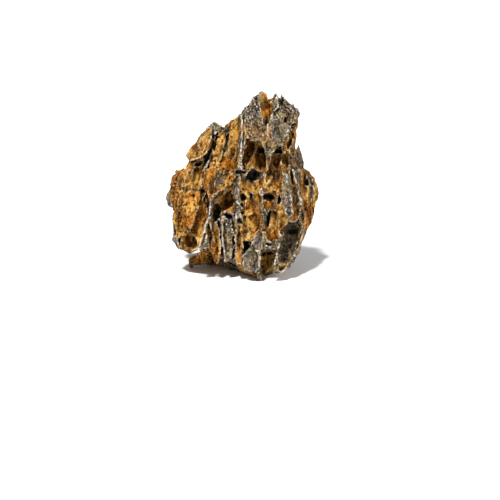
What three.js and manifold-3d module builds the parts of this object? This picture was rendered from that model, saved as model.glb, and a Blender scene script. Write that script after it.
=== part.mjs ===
// A dragon stone: one upright clay-stone rock, weathered into fluted hollows between sharp crests.
// Millimetres, +Z up, the front towards -Y, the flat resting spot on z = 0.
import * as THREE from 'three';
import { ConvexGeometry } from 'three/addons/geometries/ConvexGeometry.js';
import { mergeVertices } from 'three/addons/utils/BufferGeometryUtils.js';
import Module from 'manifold-3d';

// The stone is laid out on its face: x to the right, u up the face, w out of the face.
// The face leans back by this much when the stone stands.
const FACE_LEAN_DEG = 16;
// How far the foot of the stone is cut away to give it a flat spot to stand on.
const FOOT_CUT = 5;
const CUT_SPAN = 400;

const STONE_COLOUR = 0x9a7442;
const STONE_ROUGHNESS = 0.92;

// Masses that the stone is made of: the corners of each, as x, u, w on the face.
const MASSES = {
  // The body behind the face, down to the foot.
  core: [
    [-32, 14, -48], [46, 10, -50], [52, 16, -26], [-30, 22, -34], [12, 8, -14], [22, 2, 10],
    [-58, 50, -44], [58, 50, -42], [-64, 60, -12], [66, 60, -8], [-50, 50, 10], [56, 46, 16],
    [-54, 100, -34], [62, 100, -28], [-56, 104, 4], [64, 100, 6], [-30, 90, 22], [46, 100, 28],
    [-26, 148, -14], [44, 150, -14], [-24, 146, 12], [46, 150, 24], [8, 172, 2], [46, 172, 6],
    [0, 60, 26], [30, 60, 28],
  ],
  // The bed that the masses of the face stand on.
  frontBed: [
    [-32, 34, 16], [-30, 100, 24], [-20, 140, 14], [4, 158, 26], [50, 158, 24], [58, 110, 20],
    [58, 48, 20], [40, 20, 14], [-20, 24, 14], [-30, 40, -10], [50, 40, -10], [0, 150, -10],
    [48, 150, -10],
  ],
  // Three long ribs of the back.
  backLeft: [
    [-48, 40, -46], [-20, 30, -54], [-8, 60, -58], [-20, 110, -50], [-34, 134, -30],
    [-50, 100, -42], [-40, 60, -20], [-10, 124, -6], [-4, 40, -20], [-26, 132, -8],
  ],
  backMiddle: [
    [-12, 14, -54], [18, 12, -58], [22, 60, -62], [10, 120, -48], [20, 158, -26], [2, 150, -24],
    [-12, 80, -54], [0, 60, -20], [20, 60, -20], [34, 120, -30], [30, 40, -52], [4, 166, -4],
    [34, 164, -4],
  ],
  backRight: [
    [24, 24, -52], [48, 22, -44], [66, 60, -36], [66, 90, -30], [52, 120, -34], [40, 148, -24],
    [30, 90, -52], [30, 60, -20], [60, 100, -4], [44, 150, -2], [24, 150, -6],
  ],
  // The grey head with its jagged lower edge.
  crown: [
    [1, 166, 37], [1, 142, 42], [17, 139, 46], [41, 133, 45], [57, 164, 34], [57, 169, 30],
    [46, 177, 32], [12, 176, 36], [4, 170, 34], [4, 168, 4], [56, 166, 2], [30, 176, 38],
    [46, 142, 4], [6, 145, 4], [50, 152, 41], [31, 150, 50],
  ],
  crownTooth: [
    [18, 142, 46], [36, 140, 46], [29, 122, 48], [26, 123, 46], [34, 132, 46], [22, 142, 26],
    [34, 140, 26],
  ],
  crownPost: [
    [0, 144, 43], [5, 143, 42], [1, 111, 42], [-1, 110, 41], [2, 142, 24], [0, 114, 28],
  ],
  crownDivider: [
    [14, 140, 44], [19, 139, 44], [11, 118, 41], [5, 111, 39], [9, 124, 41], [14, 134, 24],
    [7, 114, 24],
  ],
  // The ochre flank right of the head.
  crownSide: [
    [40, 131, 42], [48, 123, 34], [55, 134, 22], [57, 162, 30], [52, 150, 4], [44, 128, 6],
  ],
  // Prongs on top of the head.
  leftProng: [
    [22, 190, 26], [13, 184, 24], [20, 188, 14], [10, 176, 36], [10, 170, 12], [28, 182, 22],
    [28, 182, 14], [31, 170, 36], [31, 170, 8], [17, 160, 40], [26, 187, 24],
  ],
  middleProng: [
    [36, 188, 32], [33, 185, 26], [30, 165, 43], [37, 172, 42], [40, 172, 12], [30, 168, 12],
  ],
  rightProng: [
    [40, 187, 22], [43, 185, 20], [37, 172, 36], [46, 174, 32], [50, 172, 10], [38, 170, 8],
  ],
  prongWeb: [
    [25, 182, 28], [36, 181, 33], [46, 181, 24], [30, 168, 36], [47, 172, 30], [27, 170, 10],
    [45, 172, 8],
  ],
  // The crumbly shoulder on the right.
  crownShoulder: [
    [47, 179, 22], [50, 176, 28], [58, 169, 20], [56, 160, 28], [42, 172, 32], [44, 168, 2],
    [54, 162, -2],
  ],
  sailCrest: [
    [-3, 167, 34], [1, 166, 40], [2, 140, 46], [2, 110, 45], [-2, 110, 44], [-2, 140, 43],
    [0, 160, 24], [1, 114, 28],
  ],
  // The crumbly ochre sheet left of the head, with a knife edge.
  sail: [
    [-1, 166, 34], [1, 150, 40], [1, 110, 43], [-10, 101, 41], [-20, 86, 38], [-30, 78, 34],
    [-37, 90, 27], [-34, 105, 25], [-27, 120, 23], [-24, 146, 19], [-16, 155, 14], [-5, 164, 22],
    [-4, 164, -2], [-20, 150, -10], [-30, 90, 6], [2, 108, 10], [9, 160, 26], [9, 108, 30],
  ],
  // The grey peak on the left and the slab under it.
  leftPeak: [
    [-27, 161, 14], [-22, 158, 14], [-15, 153, 18], [-25, 146, 24], [-33, 155, 8], [-14, 148, 20],
    [-30, 140, -12], [-14, 148, -14], [-40, 147, 0],
  ],
  leftShoulder: [
    [-28, 153, 24], [-29, 142, 30], [-30, 131, 34], [-38, 122, 34], [-50, 121, 24], [-55, 127, 12],
    [-50, 135, 10], [-43, 139, 8], [-40, 148, 8], [-33, 155, 12], [-48, 122, -14], [-28, 140, -12],
  ],
  // The fluted ledge under the slab.
  ledge: [
    [-57, 119, 6], [-36, 124, 22], [-36, 92, 26], [-58, 90, 16], [-50, 106, 22], [-54, 90, -24],
    [-40, 126, -12], [-50, 124, 8],
  ],
  // A thin pale blade.
  leftBlade: [
    [-30, 121, 29], [-34, 110, 33], [-34, 104, 32], [-39, 93, 28], [-42, 92, 20], [-38, 112, 20],
    [-30, 118, 8], [-36, 92, 6],
  ],
  // The crumbly wall and the panel on the left.
  leftWall: [
    [-70, 108, -6], [-65, 113, -4], [-57, 116, -2], [-52, 108, 18], [-58, 90, 21], [-68, 98, 8],
    [-70, 80, 2], [-72, 90, -14], [-50, 80, -32], [-52, 112, -22],
  ],
  panel: [
    [-60, 93, 22], [-41, 91, 27], [-45, 70, 31], [-50, 46, 30], [-62, 43, 21], [-66, 46, 12],
    [-67, 70, 12], [-68, 84, 8], [-60, 60, -24], [-40, 60, -10],
  ],
  // The pale left rim.
  leftRim: [
    [-69, 68, 2], [-71, 52, 4], [-70, 40, 2], [-65, 29, 2], [-62, 30, 8], [-66, 46, 12],
    [-60, 60, -28], [-58, 34, -24],
  ],
  // The lower left corner.
  lowerLeft: [
    [-64, 30, 6], [-53, 27, 10], [-43, 32, 18], [-40, 32, 24], [-38, 46, 26], [-60, 48, 18],
    [-60, 48, -28], [-40, 36, -30],
  ],
  // The smooth channel beside the panel.
  channelBed: [
    [-48, 92, 20], [-33, 86, 26], [-31, 60, 28], [-37, 42, 27], [-50, 44, 23], [-40, 60, -10],
    [-40, 90, 0],
  ],
  // A flake far back on the left.
  farFlake: [
    [-79, 81, -22], [-78, 87, -22], [-72, 96, -16], [-70, 94, -10], [-70, 72, -8], [-73, 72, -14],
    [-62, 90, -32], [-62, 74, -30],
  ],
  // The long grey blade.
  greyBlade: [
    [-29, 81, 36], [-31, 62, 37], [-35, 48, 37], [-42, 31, 33], [-33, 32, 33], [-26, 38, 31],
    [-27, 60, 24], [-27, 79, 28], [-40, 40, 12], [-30, 60, 0],
  ],
  // The sloping bay in the middle.
  bay: [
    [-28, 92, 30], [-3, 98, 34], [-3, 68, 33], [-18, 66, 30], [-28, 62, 25], [-20, 70, 0],
    [0, 90, 0], [-12, 72, 33],
  ],
  // The left toe.
  toeLeft: [
    [-28, 34, -4], [-40, 32, -4], [-55, 20, -20], [-55, 12, -22], [-50, 10, -32], [-28, 28, -20],
    [-40, 30, -44], [-30, 12, -46],
  ],
  // Columns low in the middle.
  columnA: [
    [-26, 64, 27], [-19, 62, 28], [-18, 40, 27], [-20, 24, 26], [-23, 17, 25], [-26, 20, 23],
    [-28, 42, 25], [-24, 20, 8], [-20, 60, 0],
  ],
  columnB: [
    [-18, 66, 31], [-7, 66, 33], [-6, 40, 30], [-9, 22, 27], [-15, 19, 27], [-18, 28, 25],
    [-14, 22, 6], [-12, 60, 0],
  ],
  columnC: [
    [-5, 66, 33], [5, 62, 34], [2, 36, 31], [1, 18, 29], [-5, 15, 28], [-6, 30, 27], [-2, 18, 6],
    [0, 60, 0],
  ],
  // The pitted wall in the middle.
  middleWall: [
    [-4, 104, 35], [2, 110, 37], [24, 108, 39], [24, 68, 39], [23, 50, 37], [10, 40, 35],
    [2, 44, 34], [-5, 66, 34], [-6, 90, 35], [10, 40, 0], [0, 100, 0], [24, 100, 0],
  ],
  // The bed of the arches under the head.
  recessBed: [
    [2, 142, 28], [28, 142, 30], [28, 104, 32], [2, 104, 32], [10, 120, 0], [24, 120, 0],
  ],
  // The wide fluted column on the right.
  rightColumn: [
    [18, 120, 28], [18, 50, 28], [27, 126, 34], [50, 124, 32], [52, 100, 36], [51, 66, 38],
    [44, 52, 38], [36, 42, 37], [24, 44, 36], [23, 104, 38], [26, 60, 0], [50, 60, 0], [48, 120, 0],
  ],
  // The grey strip and the plate under it.
  strip: [
    [24, 51, 38], [17, 48, 37], [3, 28, 32], [10, 29, 35], [20, 30, 36], [42, 34, 36], [42, 50, 38],
    [20, 30, 4], [40, 40, 4],
  ],
  plate: [
    [9, 31, 35], [19, 30, 37], [19, 14, 32], [15, 8, 30], [4, 11, 28], [1, 24, 30], [12, 12, 8],
    [14, 30, 8],
  ],
  // The front toe.
  frontToe: [
    [16, 14, 30], [21, 0, 22], [17, 0, 18], [26, 6, 12], [30, 12, 14], [24, 20, 12], [18, 16, -10],
    [30, 10, -14],
  ],
  // The grey spike on the right.
  spike: [
    [58, 139, 8], [60, 134, 6], [64, 121, 4], [62, 112, 8], [50, 112, 20], [53, 130, 12],
    [52, 122, -12], [62, 110, -14], [56, 98, 22],
  ],
  paleRidge: [
    [41, 110, 36], [51, 108, 37], [52, 66, 40], [44, 61, 40], [47, 88, 44], [46, 104, 42],
    [44, 100, 20], [50, 70, 20],
  ],
  middleRidge: [
    [-6, 102, 37], [1, 105, 38], [3, 60, 37], [-4, 58, 37], [-2, 82, 42], [-2, 98, 20], [0, 62, 20],
  ],
  thinRidge: [
    [20, 104, 40], [26, 104, 40], [27, 66, 41], [23, 50, 40], [21, 68, 42], [23, 90, 44],
    [24, 98, 20], [24, 54, 20],
  ],
  // The fluted right wall, the outer slab and the lobe under it.
  rightWall: [
    [46, 110, 28], [46, 60, 28], [50, 110, 33], [61, 110, 20], [58, 84, 29], [61, 66, 29],
    [57, 58, 29], [50, 60, 35], [70, 104, 4], [64, 114, 8], [60, 60, -20], [60, 104, -24],
  ],
  rightSlab: [
    [56, 108, 8], [56, 60, 12], [61, 112, 12], [70, 111, 4], [75, 104, -4], [79, 90, -10],
    [79, 86, -10], [74, 72, 0], [72, 56, 4], [66, 50, 16], [60, 58, 25], [62, 80, 22], [72, 90, 6],
    [66, 100, -28], [70, 70, -26],
  ],
  rightLobe: [
    [70, 56, 6], [66, 44, 10], [60, 28, 14], [52, 17, 20], [42, 10, 24], [33, 8, 24], [32, 12, 28],
    [36, 32, 35], [44, 50, 36], [60, 58, 26], [40, 14, -2], [60, 40, -22],
  ],
};

// Hollows in the face: x, u, how far the middle is sunk below the surface there, half the width,
// half the length, half the depth, lean to the right in degrees, pitch into the stone in degrees.
const FRONT_HOLLOWS = {
  archDark: [22, 131, 6, 8, 4, 12, -30, 0],
  columnGapLow: [-10, 17, 0, 12, 3, 8, 0, 0],
  crownGroove: [25.5, 175, -3, 6.6, 17, 10, -4, -6],
  crownGrooveTop: [25.5, 183, -2, 5, 8, 6, -8, 8],
  crownGroovePit: [26, 160, 2, 3.6, 8, 8, 10, 12],
  crownLipHole: [15.5, 182, 0, 2.6, 3.2, 3.5, 20, 0],
  prongFace: [41, 180, -2, 3.4, 8, 7, 8, 0],
  crownDish: [42, 151, -3, 9, 15, 7, 10, 8],
  crownSideGroove: [50, 143, 1, 3.4, 16, 5, 16, 0],
  crownLeftDish: [18, 153, -3, 9, 13, 6.5, 6, 10],
  crownLowDish: [27, 134, -2, 4, 7, 4, 20, 0],
  archLeft: [9.5, 127, -1, 7.2, 19, 9.5, 12, 24],
  archRight: [20.5, 124, 1, 7.5, 16, 10.5, 0, 26],
  underDrip: [36, 125, 2, 5.6, 9, 10, 0, 28],
  underSide: [46, 122, 2, 5.2, 8, 9.5, -16, 28],
  fluteB: [30, 110, -1, 3.4, 15, 6, 8, 8],
  fluteC: [37, 104, -2, 6, 21, 8, 4, 12],
  sailPit: [-21, 132, -2, 5, 12, 6, 12, 10],
  sailDish: [-7, 138, -2, 5.5, 19, 5.5, 10, 0],
  sailLow: [-11, 113, -1.5, 7, 8, 4, 24, 0],
  sailFoot: [-30, 95, -2, 4.5, 15, 4, 10, 0],
  sailScar: [-20, 100, -1, 4, 9, 3, 30, 0],
  sailSaddle: [-15, 152, -2, 5, 5, 6, 0, 0],
  shoulderDish: [-40, 137, -3, 6, 12, 5, 22, 10],
  shoulderLow: [-45, 128, -2, 6, 5, 4, 0, 0],
  shoulderUnder: [-42, 118, 2, 5, 2.6, 6, -10, 0],
  ledgeA: [-44, 104, -1, 5.4, 13, 8.5, 8, 14],
  ledgeB: [-53, 104, -1, 4, 10, 6, 8, 14],
  ledgeC: [-37.5, 103, -1, 2.5, 10, 5, 12, 0],
  ledgeD: [-46, 94, 0, 5, 7, 6, 10, 16],
  wallDish: [-62.5, 98, -3, 5, 14, 7, 6, 12],
  wallLow: [-63, 82, -1, 3.5, 10, 4, 6, 0],
  panelNotch: [-52, 95, 0, 4, 8, 5, 22, 0],
  channel: [-39.5, 60, -3, 7.5, 31, 9, 14, 3],
  lowHollow: [-53, 37.5, -2, 12, 8.5, 11, 8, 18],
  diagonal: [-14, 80, 0, 7, 18, 11, 50, 14],
  diagonalDeep: [-22, 84, 3, 3, 10, 9, 48, 0],
  recess: [-23, 69, 1, 5, 11, 9, 10, 24],
  gapA: [-28.5, 47, 1, 2.6, 12, 12, -8, 0],
  columnBFlute: [-14, 40, -2, 2.8, 19, 4, 0, 0],
  columnHeadB: [-10, 67, 0, 5, 2.8, 8, 20, 0],
  columnHeadC: [0, 61, 1, 3.5, 3.5, 8, -20, 0],
  cave: [12, 97, -1, 11, 13, 12, 30, 26],
  caveHole: [16, 106, 6, 9, 5, 16, 60, 0],
  caveRoof: [-2, 105.5, 1, 2.6, 9, 7, 74, 0],
  curlA: [5, 85, 1, 3.6, 2.8, 6, 30, 0],
  midDish: [14, 76, -3, 9, 15, 8, 14, 16],
  midLow: [13, 57, -2, 7, 12, 7, 16, 16],
  midLeft: [5, 56, -1, 3.5, 10, 5, 10, 12],
  hollowA: [32.5, 75, -1, 7.5, 15, 9.5, 6, 26],
  holeA: [30, 83, 4, 7, 4, 12, 20, 0],
  cavityC: [32, 54, -1, 7, 17, 10.5, 5, 24],
  cavityCTop: [29, 63, 4, 2.6, 8, 11, 14, 10],
  hollowD: [43.5, 58, 0, 4, 8.5, 6.5, 0, 18],
  fluteMid: [34, 95, -3, 6.5, 15, 7, 5, 14],
  ridgeSide: [48, 86, -2, 3, 20, 4, -4, 0],
  fluteRight: [56, 84, -1, 4.6, 25, 7.5, -4, 6],
  fluteOuter: [66.5, 85, -1, 4.8, 20, 8, -5, 10],
  fluteOuterTop: [67, 99, 2, 3.2, 4, 7, -20, 0],
  slabEdge: [74, 90, 0, 2.6, 13, 4, -4, 0],
  foldRight: [64, 62, -1, 3, 12, 5, -12, 0],
  greatHollow: [50, 38, 0, 10.5, 24, 18, 20, 24],
  greatHollowTop: [53, 48, 4, 8.5, 11, 15, 16, 18],
  footCave: [26.5, 17, -3, 6.6, 17, 13, 5, 20],
  footCaveTop: [27, 27, 6, 6, 3.6, 10, 0, 0],
  stripPatch: [29, 37, -2, 2.8, 5, 4, 80, 0],
  stripFlute: [17, 41, -2, 4, 9, 4, 30, 0],
  plateDish: [11, 21, -3, 6, 9, 4, 10, 8],
  lobeDish: [42, 15, -1, 3, 6, 5, 60, 0],
};

// Hollows round the sides and the back: how many, and the ranges of their places and sizes.
const AROUND = {
  count: 38,
  turnDeg: [92, 268],
  height: [16, 168],
  halfWide: [5.5, 9.5],
  halfLong: [12, 24],
  halfDeep: [6, 10],
  sunk: [1, -2],
  leanDeg: [-14, 14],
};
// The upright line that the hollows round the back are set about.
const AXIS_X = 6;
const AXIS_W_AT_FOOT = -30;
const AXIS_RISE = 0.25;
const FAR_OUT = 150;
// Evenly scattered fractions: the step of each row of numbers, and where the row starts.
const STEPS = {
  turn: [0.618034, 0],
  height: [0.754878, 0.3],
  wide: [0.37, 0.1],
  long: [0.53, 0.1],
  deep: [0.71, 0.1],
  sunk: [0.41, 0],
  lean: [0.29, 0],
};

// How finely a hollow is faceted: small ones coarsely, wide ones finer.
const FINE_ABOVE = 4.2;
// Detail smaller than this is smoothed over.
const SMALLEST_DETAIL = 0.07;
// Corners closer than this are one corner.
const SAME_POINT = 1e-4;

const wasm = await Module();
wasm.setup();

function toManifold(geometry) {
  const bare = geometry.clone();
  bare.deleteAttribute('normal');
  bare.deleteAttribute('uv');
  const merged = mergeVertices(bare, SAME_POINT);
  return new wasm.Manifold(new wasm.Mesh({
    numProp: 3,
    vertProperties: merged.attributes.position.array,
    triVerts: merged.index.array,
  }));
}

function toGeometry(solid) {
  const mesh = solid.getMesh();
  const geometry = new THREE.BufferGeometry();
  geometry.setAttribute('position', new THREE.BufferAttribute(mesh.vertProperties, 3));
  geometry.setIndex(new THREE.BufferAttribute(mesh.triVerts, 1));
  return geometry;
}

function massGeometry(corners) {
  const points = corners.map(([x, u, w]) => new THREE.Vector3(x, u, w));
  return new ConvexGeometry(points);
}

// An ellipsoid with its own three directions: across, along and into the stone.
function hollowGeometry(centre, directions, halfSizes) {
  const detail = Math.min(...halfSizes) > FINE_ABOVE ? 1 : 0;
  const ball = new THREE.IcosahedronGeometry(1, detail);
  const columns = directions.map((direction, i) => direction.clone().multiplyScalar(halfSizes[i]));
  const placing = new THREE.Matrix4().makeBasis(...columns).setPosition(centre);
  return ball.applyMatrix4(placing);
}

// Where a straight line from outside first meets any of the masses.
function firstMeeting(meshes, from, direction) {
  const ray = new THREE.Raycaster(from, direction);
  const meetings = ray.intersectObjects(meshes);
  return meetings.length > 0 ? meetings[0].point : null;
}

// A hollow in the face: its long side leans in the face and pitches into it.
function frontHollow(meshes, [x, u, sunk, halfWide, halfLong, halfDeep, leanDeg, pitchDeg]) {
  const start = new THREE.Vector3(x, u, FAR_OUT);
  const meeting = firstMeeting(meshes, start, new THREE.Vector3(0, 0, -1));
  if (meeting === null) {
    return null;
  }
  const lean = THREE.MathUtils.degToRad(leanDeg);
  const pitch = THREE.MathUtils.degToRad(pitchDeg);
  const along = new THREE.Vector3(
    Math.sin(lean) * Math.cos(pitch),
    Math.cos(lean) * Math.cos(pitch),
    -Math.sin(pitch),
  );
  const across = new THREE.Vector3(Math.cos(lean), -Math.sin(lean), 0);
  const deep = new THREE.Vector3().crossVectors(across, along);
  const centre = new THREE.Vector3(x, u, meeting.z - sunk);
  return hollowGeometry(centre, [across, along, deep], [halfWide, halfLong, halfDeep]);
}

function scattered(index, [step, start], [low, high]) {
  const value = index * step + start;
  return low + (high - low) * (value - Math.floor(value));
}

// A hollow on the sides or the back, found by looking in from outside at its height.
function aroundHollow(meshes, index) {
  const turn = THREE.MathUtils.degToRad(scattered(index, STEPS.turn, AROUND.turnDeg));
  const height = scattered(index, STEPS.height, AROUND.height);
  const out = new THREE.Vector3(Math.sin(turn), 0, Math.cos(turn));
  const axis = new THREE.Vector3(AXIS_X, height, AXIS_W_AT_FOOT + AXIS_RISE * height);
  const start = axis.clone().addScaledVector(out, FAR_OUT);
  const meeting = firstMeeting(meshes, start, out.clone().negate());
  if (meeting === null) {
    return null;
  }
  const lean = THREE.MathUtils.degToRad(scattered(index, STEPS.lean, AROUND.leanDeg));
  const level = new THREE.Vector3(Math.cos(turn), 0, -Math.sin(turn));
  const up = new THREE.Vector3(0, 1, 0);
  const along = up.clone().multiplyScalar(Math.cos(lean)).addScaledVector(level, Math.sin(lean));
  const across = level.clone().multiplyScalar(Math.cos(lean)).addScaledVector(up, -Math.sin(lean));
  const deep = new THREE.Vector3().crossVectors(across, along);
  const centre = meeting.addScaledVector(out, -scattered(index, STEPS.sunk, AROUND.sunk));
  const halfSizes = [
    scattered(index, STEPS.wide, AROUND.halfWide),
    scattered(index, STEPS.long, AROUND.halfLong),
    scattered(index, STEPS.deep, AROUND.halfDeep),
  ];
  return hollowGeometry(centre, [across, along, deep], halfSizes);
}

const massGeometries = Object.values(MASSES).map(massGeometry);
const massMeshes = massGeometries.map((geometry) => new THREE.Mesh(geometry));
let stone = massGeometries.map(toManifold).reduce((joined, next) => joined.add(next));

const hollows = Object.values(FRONT_HOLLOWS).map((row) => frontHollow(massMeshes, row));
for (let index = 0; index < AROUND.count; index += 1) {
  hollows.push(aroundHollow(massMeshes, index));
}
for (const hollow of hollows.filter((found) => found !== null)) {
  stone = stone.subtract(toManifold(hollow));
}

// Stood up: the face leans back, and what is below the ground is cut off flat.
const standing = new THREE.Matrix4()
  .makeTranslation(0, 0, -FOOT_CUT)
  .multiply(new THREE.Matrix4().makeRotationX(THREE.MathUtils.degToRad(90 - FACE_LEAN_DEG)));
const upright = toGeometry(stone).applyMatrix4(standing);
const ground = new THREE.BoxGeometry(CUT_SPAN, CUT_SPAN, CUT_SPAN).translate(0, 0, -CUT_SPAN / 2);
const cut = toManifold(upright).subtract(toManifold(ground));

// The one body is kept; splinters that the hollows cut loose are dropped.
const bodies = cut.decompose();
const whole = bodies.reduce((best, body) => (body.volume() > best.volume() ? body : best));
const thinned = whole.simplify(SMALLEST_DETAIL);

// The middle of the footprint goes over the origin.
const stoneGeometry = toGeometry(thinned);
stoneGeometry.computeBoundingBox();
const middle = stoneGeometry.boundingBox.getCenter(new THREE.Vector3());
stoneGeometry.translate(-middle.x, -middle.y, 0);
stoneGeometry.computeVertexNormals();

const stoneMaterial = new THREE.MeshStandardMaterial({
  color: STONE_COLOUR,
  roughness: STONE_ROUGHNESS,
  metalness: 0,
  flatShading: true,
});
const stoneMesh = new THREE.Mesh(stoneGeometry, stoneMaterial);
stoneMesh.name = 'dragon_stone';

const group = new THREE.Group();
group.name = 'dragon_stone';
group.add(stoneMesh);

export default group;
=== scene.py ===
# %% [markdown]
# # Dragon stone
# A dragon stone is a lump of old clay stone. Ground water has dissolved its soft parts, so it is
# all hollows, pits and flutes with sharp crests between them. It could be carved by hand in sculpt
# mode, or cut by Boolean modifiers, which are slow and fail where hundreds of balls cross. Here it
# is worked out as a solid field on a fine grid of points: there hollows can cross anywhere, and
# they leave crests like the real ones.

import bmesh
import bpy
import numpy as np
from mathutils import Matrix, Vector


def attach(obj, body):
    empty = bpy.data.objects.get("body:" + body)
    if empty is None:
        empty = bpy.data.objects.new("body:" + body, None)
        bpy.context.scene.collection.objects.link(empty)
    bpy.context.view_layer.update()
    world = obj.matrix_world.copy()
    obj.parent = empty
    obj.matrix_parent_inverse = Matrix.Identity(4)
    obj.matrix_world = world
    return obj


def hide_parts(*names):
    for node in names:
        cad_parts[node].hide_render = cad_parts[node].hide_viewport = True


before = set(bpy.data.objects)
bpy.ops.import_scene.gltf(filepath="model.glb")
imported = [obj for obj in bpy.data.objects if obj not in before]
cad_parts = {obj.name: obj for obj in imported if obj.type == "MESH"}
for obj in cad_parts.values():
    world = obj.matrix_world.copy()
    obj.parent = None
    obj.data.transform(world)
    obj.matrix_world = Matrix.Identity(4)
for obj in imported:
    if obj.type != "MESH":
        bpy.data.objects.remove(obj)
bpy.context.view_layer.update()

# %% [markdown]
# ## The face frame
# The stone is laid out on its face, in millimetres: x to the right, u up the face, w out of the
# face towards the viewer. In the photo the face is seen square on from a little above, so the
# stone stands with its face leaning back. It could be laid out upright and turned at the end, but
# then no number here could be held against the photo. The field is held on a grid of points one
# step apart.

# %% Face frame and grid
FACE_LEAN = np.radians(16.0)
FOOT_CUT = 5.0
STAND_Y = 25.96
STEP = 0.8
GRID_LOW = np.array([-84.0, -14.0, -66.0])
GRID_HIGH = np.array([84.0, 196.0, 58.0])
COUNTS = ((GRID_HIGH - GRID_LOW) / STEP).astype(int) + 1
AXES = [GRID_LOW[i] + STEP * np.arange(COUNTS[i]) for i in range(3)]


def to_world(points):
    """Millimetres on the face to metres in the part's frame: the face leans back by the angle e,
    y = u sin e - w cos e - stand and z = u cos e + w sin e - foot cut."""
    x, u, w = np.moveaxis(np.asarray(points, float), -1, 0)
    y = u * np.sin(FACE_LEAN) - w * np.cos(FACE_LEAN) - STAND_Y
    z = u * np.cos(FACE_LEAN) + w * np.sin(FACE_LEAN) - FOOT_CUT
    return np.stack([x, y, z], axis=-1) / 1000.0


print("grid of", COUNTS, "points")

# %% [markdown]
# ## Slow random waves
# Nothing on the stone is straight. Smooth random waves bend every mass and hollow a little, long
# waves by more than short ones. The finished skin could be bent instead, but bending the grid
# first costs no detail. A wave is a small block of random numbers spread over the whole grid, one
# axis after the other, with a curve that starts and ends level.

# %% Random waves
def spread_matrix(axis, step):
    """Rows blend the two nearest knots: with t the way between them, the weight is
    3 t^2 - 2 t^3 for the upper knot and the rest for the lower one."""
    place = (AXES[axis] - GRID_LOW[axis]) / step
    lower = np.floor(place).astype(int)
    t = place - lower
    t = t * t * (3.0 - 2.0 * t)
    matrix = np.zeros((COUNTS[axis], lower.max() + 2), np.float32)
    rows = np.arange(COUNTS[axis])
    matrix[rows, lower] = 1.0 - t
    matrix[rows, lower + 1] = t
    return matrix


def random_wave(steps, seed):
    """A smooth random block between -1 and 1, with knots this far apart along x, u and w."""
    matrices = [spread_matrix(i, steps[i]) for i in range(3)]
    shape = [matrix.shape[1] for matrix in matrices]
    values = np.random.default_rng(seed).uniform(-1.0, 1.0, shape).astype(np.float32)
    values = np.tensordot(matrices[0], values, (1, 0))
    values = np.tensordot(values, matrices[1], (1, 1)).transpose(0, 2, 1)
    return np.tensordot(values, matrices[2], (2, 1))


def bending(seed):
    """Long, middle and short waves added up, in millimetres."""
    long_wave = 2.0 * random_wave((24, 30, 24), seed)
    middle_wave = 1.3 * random_wave((9, 13, 9), seed + 1)
    short_wave = 0.55 * random_wave((3.7, 5.0, 3.7), seed + 2)
    return (long_wave + middle_wave + short_wave).astype(np.float32)


grid_x, grid_u, grid_w = np.meshgrid(*AXES, indexing="ij")
bent = [
    (grid_x + bending(11)).astype(np.float32),
    (grid_u + bending(21)).astype(np.float32),
    (grid_w + bending(31)).astype(np.float32),
]
print("bent grid of", bent[0].size, "points")

# %% [markdown]
# ## The masses
# The stone is one piece, yet its face shows plain masses: the grey crown with its prongs, the
# ochre sail beside it, the wall and panel on the left, the row of columns low in the middle and
# the slabs on the right. Each is a convex block given by corners in millimetres, which is the
# shortest way to say where a mass begins and ends. The first numbers of a mass say how ochre it
# is, from grey at 0 to ochre at 1, how crumbly its skin is, and how fluted.

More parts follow.
